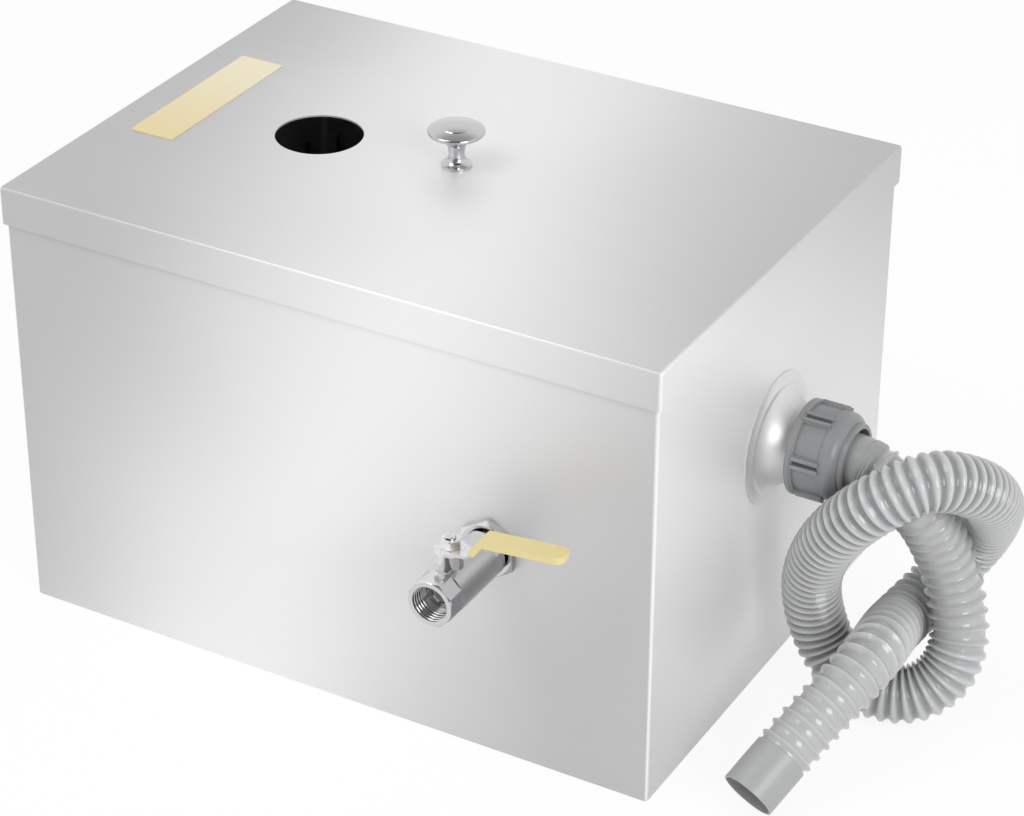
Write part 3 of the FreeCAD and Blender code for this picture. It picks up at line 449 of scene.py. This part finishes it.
def corrugated_stretch(start, pitch, count, rib):
    """Straight run of ribs: one rib shaped from its listed steps, repeated by an array."""
    rise = hose_radius - hose_valley
    piece = ring_at(start, hose_valley, "corrugated_hose")
    x = start
    radius = hose_valley
    for share, height in rib:
        wanted = hose_valley + rise * height
        next_ring(x, share * pitch, wanted / radius)
        x += share * pitch
        radius = wanted
    bpy.ops.object.mode_set(mode="OBJECT")
    array = piece.modifiers.new("ribs", "ARRAY")
    array.count = count
    array.use_relative_offset = False
    array.use_constant_offset = True
    array.constant_offset_displace = (pitch, 0, 0)
    array.use_merge_vertices = True
    array.merge_threshold = pitch / 50
    bpy.ops.object.modifier_apply(modifier="ribs")
    return piece


def ribbed_stretches(start, room):
    """Pulled-out ribs near both ends, and ribs pushed together along the knot."""
    half_way = (wide_pitch + tight_pitch) / 2
    ends = (near_wide_ribs + far_wide_ribs) * wide_pitch + 2 * half_way_ribs * half_way
    count = round((room - ends) / tight_pitch)
    pitch = (room - ends) / count
    pieces = []
    x = start
    for step, ribs, rib in ((wide_pitch, near_wide_ribs, wide_rib),
                            (half_way, half_way_ribs, wide_rib),
                            (pitch, count, tight_rib),
                            (half_way, half_way_ribs, wide_rib),
                            (wide_pitch, far_wide_ribs, wide_rib)):
        pieces.append(corrugated_stretch(x, step, ribs, rib))
        x += step * ribs
    return pieces


def note_rib_height(piece, length):
    """Painted shade of each point for the finish: its height, so valleys are painted darker, with
    the pulled-out valleys paler.
    """
    height = piece.data.attributes.new("rib_height_painted_shade", "FLOAT", "POINT")
    near_wide = near_cuff + near_wide_ribs * wide_pitch
    far_wide = length - far_cuff - far_wide_ribs * wide_pitch
    for vertex in piece.data.vertices:
        radius = math.hypot(vertex.co.y, vertex.co.z)
        share = (radius - hose_valley) / (hose_radius - hose_valley)
        inside = min(vertex.co.x - near_wide, far_wide - vertex.co.x)
        pulled = min(1, max(0, 1 - inside / tone_blend)) * wide_valley_tone
        if vertex.co.x < near_cuff or vertex.co.x > length - far_cuff:
            share = cuff_tone
        else:
            share = pulled + (1 - pulled) * share
        height.data[vertex.index].value = share


def smooth_cuff(start, length, name, towards, ring_count):
    """Smooth end of the hose, with its fine rings before the ribs begin."""
    rings_share = (ring_count + 0.4) * cuff_ring_share
    plain = [((1 - rings_share) / cuff_steps, cuff_radius)] * cuff_steps
    fine_ring = [(0.25, cuff_radius + cuff_ring_rise), (0.25, cuff_radius + cuff_ring_rise),
                 (0.2, cuff_radius), (0.3, cuff_radius)]
    rings = [(share * cuff_ring_share, radius) for share, radius in fine_ring] * ring_count
    piece = ring_at(start, cuff_radius, name)
    x = start
    last = cuff_radius
    for share, radius in plain + rings + [(0.4 * cuff_ring_share, hose_valley)]:
        step = share * length * towards
        next_ring(x, step, radius / last)
        x += step
        last = radius
    bpy.ops.object.mode_set(mode="OBJECT")
    return piece


def hose_piece():
    """Corrugated hose: straight tube of ribs between two cuffs, bent along its route."""
    route = route_curve()
    line, length = route_line(route)
    near = smooth_cuff(0, near_cuff, "near_cuff", 1, 3)
    far = smooth_cuff(length, far_cuff, "far_cuff", -1, 0)
    stretches = ribbed_stretches(near_cuff, length - near_cuff - far_cuff)
    ribbed_vinyl = hose_vinyl("hose_vinyl", 0.6, 0.2, 0.3)
    cuff_vinyl = hose_vinyl("cuff_vinyl", 0.12, 0.36, 0.46)
    for piece in stretches:
        piece.data.materials.append(ribbed_vinyl)
    for piece in (near, far):
        piece.data.materials.append(cuff_vinyl)
    hose = stretches[0]
    make_active(hose)
    for piece in stretches[1:] + [near, far]:
        piece.select_set(True)
    bpy.ops.object.join()
    bpy.ops.object.mode_set(mode="EDIT")
    bpy.ops.mesh.select_all(action="SELECT")
    bpy.ops.mesh.remove_doubles(threshold=tight_pitch / 50)
    bpy.ops.mesh.normals_make_consistent(inside=False)
    bpy.ops.object.mode_set(mode="OBJECT")
    note_rib_height(hose, length)
    bend = hose.modifiers.new("bend", "CURVE")
    bend.object = route
    bend.deform_axis = "POS_X"
    bpy.ops.object.modifier_apply(modifier="bend")
    wall = hose.modifiers.new("wall", "SOLIDIFY")
    wall.thickness = hose_wall
    wall.offset = -1
    bpy.ops.object.modifier_apply(modifier="wall")
    bpy.ops.object.shade_smooth_by_angle(angle=math.radians(60))
    bpy.data.objects.remove(route)
    return hose, line, length


# Thread in the valve's mouth

def mouth_thread():
    """Ridge that winds round the valve's mouth."""
    low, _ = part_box("valve_body")
    mount = next(m for m in frame["record"]["mounts"] if m["name"] == "drain_thread")
    radius = mount["dims"]["r_mm"] / 1000
    axis_x, _, axis_z = mount["pos_m"]
    start = low[1] + thread_set_back
    deselect_all()
    bpy.ops.mesh.primitive_circle_add(vertices=3, radius=thread_depth * ridge_share,
                                      location=(radius, 0, 0), rotation=(math.pi / 2, 0, 0))
    ridge = named("mouth_thread")
    bpy.ops.object.transform_apply(location=True, rotation=True, scale=True)
    wind = ridge.modifiers.new("wind", "SCREW")
    wind.axis = "Z"
    wind.angle = 2 * math.pi
    wind.screw_offset = thread_pitch
    wind.iterations = thread_turns
    wind.steps = 40
    wind.render_steps = 40
    bpy.ops.object.modifier_apply(modifier="wind")
    bpy.ops.object.mode_set(mode="EDIT")
    bpy.ops.mesh.select_all(action="SELECT")
    bpy.ops.mesh.remove_doubles(threshold=thread_depth / 50)
    bpy.ops.mesh.select_all(action="DESELECT")
    bpy.ops.mesh.select_non_manifold()
    bpy.ops.mesh.edge_face_add()
    bpy.ops.mesh.select_all(action="SELECT")
    bpy.ops.mesh.normals_make_consistent(inside=False)
    bpy.ops.object.mode_set(mode="OBJECT")
    ridge.rotation_euler = (-math.pi / 2, 0, 0)
    ridge.location = (axis_x, start, axis_z)
    make_active(ridge)
    bpy.ops.object.transform_apply(location=True, rotation=True, scale=True)
    return ridge


# Stage, camera and lights

def white_room(name):
    """Pale matt ground that reads as white to the camera and in reflections, and keeps shadows."""
    finish = bpy.data.materials.new(name)
    finish.use_nodes = True
    tree = finish.node_tree
    tree.nodes.clear()
    output = tree.nodes.new("ShaderNodeOutputMaterial")
    matt = tree.nodes.new("ShaderNodeBsdfDiffuse")
    matt.inputs["Color"].default_value = (0.86, 0.86, 0.86, 1)
    glow = tree.nodes.new("ShaderNodeEmission")
    glow.inputs["Color"].default_value = (1, 1, 1, 1)
    glow.inputs["Strength"].default_value = 1.03
    rays = tree.nodes.new("ShaderNodeLightPath")
    seen = tree.nodes.new("ShaderNodeMath")
    seen.operation = "MULTIPLY"
    seen.inputs[1].default_value = 0.86
    share = tree.nodes.new("ShaderNodeMath")
    share.operation = "MULTIPLY_ADD"
    share.inputs[1].default_value = 0.72
    mix = tree.nodes.new("ShaderNodeMixShader")
    tree.links.new(rays.outputs["Is Camera Ray"], seen.inputs[0])
    tree.links.new(rays.outputs["Is Glossy Ray"], share.inputs[0])
    tree.links.new(seen.outputs[0], share.inputs[2])
    tree.links.new(share.outputs[0], mix.inputs["Fac"])
    tree.links.new(matt.outputs[0], mix.inputs[1])
    tree.links.new(glow.outputs[0], mix.inputs[2])
    tree.links.new(mix.outputs[0], output.inputs["Surface"])
    return finish


def studio_floor():
    """Ground that the trap stands on."""
    deselect_all()
    bpy.ops.mesh.primitive_plane_add(size=12, location=(0, 0, 0))
    floor = named("studio_floor")
    floor.data.materials.append(white_room("white_ground"))


def soft_light(name, place, aim, size, power):
    """Large square lamp that looks at a point."""
    lamp = bpy.data.lights.new(name, "AREA")
    lamp.shape = "RECTANGLE"
    lamp.size, lamp.size_y = size
    lamp.energy = power
    holder = bpy.data.objects.new(name, lamp)
    holder.location = place
    holder.rotation_euler = (Vector(aim) - Vector(place)).to_track_quat("-Z", "Y").to_euler()
    bpy.context.collection.objects.link(holder)


def room_light():
    """World: white to the camera, softer on matt things, with dark zones for bright metal."""
    world = bpy.data.worlds.new("room")
    bpy.context.scene.world = world
    world.use_nodes = True
    tree = world.node_tree
    background = tree.nodes["Background"]
    place = tree.nodes.new("ShaderNodeTexCoord")
    height = tree.nodes.new("ShaderNodeSeparateXYZ")
    zenith = tree.nodes.new("ShaderNodeMapRange")
    zenith.interpolation_type = "SMOOTHSTEP"
    zenith.inputs["From Min"].default_value = 0.62
    zenith.inputs["From Max"].default_value = 0.9
    zenith.inputs["To Min"].default_value = 1.0
    zenith.inputs["To Max"].default_value = 0.45
    towards = tree.nodes.new("ShaderNodeVectorMath")
    towards.operation = "DOT_PRODUCT"
    towards.inputs[1].default_value = tuple(dark_side)
    front = tree.nodes.new("ShaderNodeMapRange")
    front.interpolation_type = "SMOOTHSTEP"
    front.inputs["From Min"].default_value = 0.6
    front.inputs["From Max"].default_value = 0.85
    front.inputs["To Min"].default_value = 1.0
    front.inputs["To Max"].default_value = 0.25
    mirrored = tree.nodes.new("ShaderNodeMath")
    mirrored.operation = "MULTIPLY"
    rays = tree.nodes.new("ShaderNodeLightPath")
    glossy = tree.nodes.new("ShaderNodeMix")
    glossy.inputs["A"].default_value = 0.62
    seen = tree.nodes.new("ShaderNodeMix")
    seen.inputs["B"].default_value = 1.0
    tree.links.new(place.outputs["Generated"], height.inputs["Vector"])
    tree.links.new(place.outputs["Generated"], towards.inputs[0])
    tree.links.new(height.outputs["Z"], zenith.inputs["Value"])
    tree.links.new(towards.outputs["Value"], front.inputs["Value"])
    tree.links.new(zenith.outputs["Result"], mirrored.inputs[0])
    tree.links.new(front.outputs["Result"], mirrored.inputs[1])
    tree.links.new(rays.outputs["Is Glossy Ray"], glossy.inputs["Factor"])
    tree.links.new(mirrored.outputs[0], glossy.inputs["B"])
    tree.links.new(rays.outputs["Is Camera Ray"], seen.inputs["Factor"])
    tree.links.new(glossy.outputs["Result"], seen.inputs["A"])
    tree.links.new(seen.outputs["Result"], background.inputs["Strength"])
    background.inputs["Color"].default_value = (1, 1, 1, 1)


def studio_lights():
    """Soft lamps, with a pale room round them."""
    room_light()
    soft_light("key_light", (-1.1, -1.4, 2.6), (0, 0, 0.15), (1.4, 1.4), key_power)
    soft_light("side_light", (1.8, -1.0, 1.1), (0.25, 0, 0.1), (1.0, 1.0), side_power)


def camera():
    """Camera at the photograph's view."""
    data = bpy.data.cameras.new("camera")
    data.lens = camera_lens
    holder = bpy.data.objects.new("camera", data)
    holder.location = camera_place
    turn = Quaternion((0, 0, 1), math.radians(camera_roll))
    holder.rotation_euler = (camera_direction.to_track_quat("-Z", "Y") @ turn).to_euler()
    bpy.context.collection.objects.link(holder)
    bpy.context.scene.camera = holder


bpy.context.scene.view_settings.view_transform = "Standard"
camera()
studio_floor()
studio_lights()

hose, hose_line, hose_length = hose_piece()
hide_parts("hose")
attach(hose, "tank")

sheet = satin_sheet("satin_sheet", (0.93, 0.93, 0.935), (0.57, 0.57, 0.575), 0.5, 0.5)
bright = bright_plating("bright_plating", (0.76, 0.76, 0.77), (0.34, 0.34, 0.35), 0.13)
thread = mouth_thread()
thread.data.materials.append(bright)
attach(thread, "tank")

dress(sheet, "tank_shell", "lid_pan", "basket_rail_front", "basket_rail_back", "inlet_baffle",
      "outlet_baffle", "inlet_guide_front", "inlet_guide_back", "outlet_guide_front",
      "outlet_guide_back")
dress(satin_sheet("spun_sheet", (0.80, 0.80, 0.805), (0.64, 0.64, 0.645), 0.7, 0.46),
      "outlet_flare", "outlet_neck")
dress(satin_sheet("basket_sheet", (0.74, 0.74, 0.75), (0.60, 0.60, 0.61), 0.85, 0.36),
      "filter_basket", "basket_handle_left", "basket_handle_right")
dress(bright, "valve_body", "valve_insert", "valve_ball", "valve_stem", "gland_ring",
      "outer_locknut", "inner_locknut", "drain_nipple")
dress(bright_plating("lever_plating", (0.84, 0.84, 0.85), (0.66, 0.66, 0.67), 0.28),
      "valve_lever", "lever_nut")
dress(turned_plating(), "lid_knob")
dress(zinc_steel(), "knob_screw", "knob_washer")
dress(gold_foil(), "name_plate")
dress(moulded_plastic("nut_plastic", (0.24, 0.245, 0.25), (0.30, 0.305, 0.31), 0.32), "hose_nut")
dress(moulded_plastic("pipe_plastic", (0.80, 0.80, 0.78), (0.76, 0.76, 0.74), 0.3),
      "outlet_elbow", "dip_tube")
dress(moulded_plastic("sleeve_vinyl", (0.78, 0.65, 0.28), (0.81, 0.70, 0.34), 0.28), "lever_sleeve")
dress(moulded_plastic("seat_plastic", (0.86, 0.86, 0.84), (0.82, 0.82, 0.80), 0.4),
      "front_seat", "rear_seat", "stem_packing")
dress(seal_rubber(), "hose_seal", "inner_washer", "lid_gasket")
